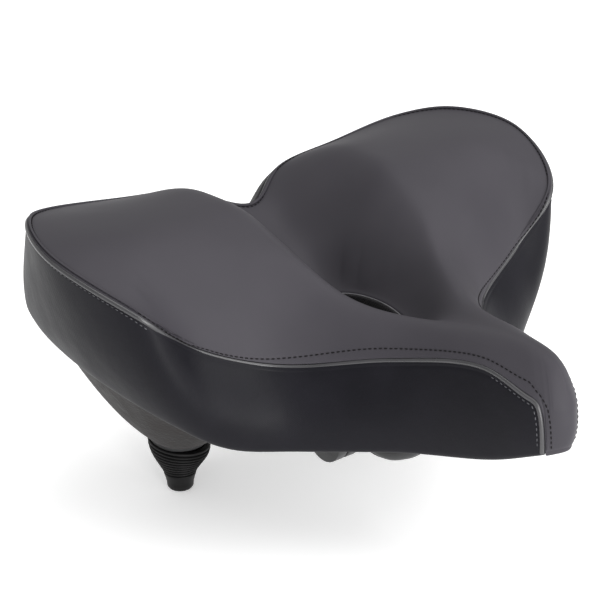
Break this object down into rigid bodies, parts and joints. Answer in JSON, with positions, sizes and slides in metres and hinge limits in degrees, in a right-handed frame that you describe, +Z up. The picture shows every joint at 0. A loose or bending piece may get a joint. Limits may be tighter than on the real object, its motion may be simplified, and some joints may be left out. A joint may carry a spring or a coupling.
{
  "type": "bicycle saddle",
  "caption": "Wide two-wing comfort bicycle saddle with a relief opening, sprung on conical springs in rubber boots, with rails and a seat-post clamp.",
  "frame": {"origin": "on the seat-post axis, at the lower rim of the post socket", "axes": "+X towards the nose, +Y to the rider's left, +Z up along the seat post"},
  "size_m": [0.2654, 0.2852, 0.1585],
  "materials": {
    "cover_vinyl": "matte dark grey vinyl, very fine grain",
    "panel_vinyl": "satin black vinyl, fine woven emboss",
    "pad_foam": "open-cell foam, hidden",
    "moulded_pan": "moulded brown-black plastic with a coarse pebble texture",
    "lining_cloth": "dark lining",
    "black_rubber": "satin black rubber",
    "black_plastic": "matte",
    "black_steel": "black powder coat",
    "spring_steel": "oil-blackened wire",
    "zinc_steel": "zinc plated"
  },
  "bodies": {
    "clamp": {"post_band": "black_steel", "clamp_bolt": "zinc_steel", "clamp_nut": "zinc_steel", "washer_left": "zinc_steel", "washer_right": "zinc_steel"},
    "carriage": {"inner_cheek_left": "black_steel", "inner_cheek_right": "black_steel", "outer_cheek_left": "black_steel", "outer_cheek_right": "black_steel"},
    "rails": {"rail_left": "black_steel", "rail_right": "black_steel", "nose_bush": "black_rubber", "spring_plug_left": "black_plastic", "spring_plug_right": "black_plastic", "spring_boot_left": "black_rubber", "spring_boot_right": "black_rubber", "coil_spring_left": "spring_steel", "coil_spring_right": "spring_steel"},
    "seat": {"top_cover": "cover_vinyl", "side_panel_left": "panel_vinyl", "side_panel_right": "panel_vinyl", "foam_pad": "pad_foam", "seat_pan": "moulded_pan", "relief_liner": "lining_cloth", "nose_bracket": "black_steel", "bracket_screw_rear": "zinc_steel", "bracket_screw_front": "zinc_steel", "spring_seat_left": "black_plastic", "spring_seat_right": "black_plastic", "spring_screw_left": "zinc_steel", "spring_screw_right": "zinc_steel"}
  },
  "joints": [
    {"name": "tilt", "type": "hinge", "parent": "clamp", "child": "carriage", "pos_m": [-0.021, 0, 0.0052], "axis": [0, 1, 0], "range_deg": [-15, 15]},
    {"name": "fore_aft", "type": "slide", "parent": "carriage", "child": "rails", "axis": [1, 0, 0], "range_m": [-0.012, 0.012]},
    {"name": "suspension", "type": "hinge", "parent": "rails", "child": "seat", "pos_m": [0.076, 0, 0.0395], "axis": [0, -1, 0], "range_deg": [0, 3.5], "stiffness_Nm_per_rad": 1400, "springref_deg": -0.34, "deforming": ["spring_boot_left", "spring_boot_right", "coil_spring_left", "coil_spring_right"]}
  ]
}
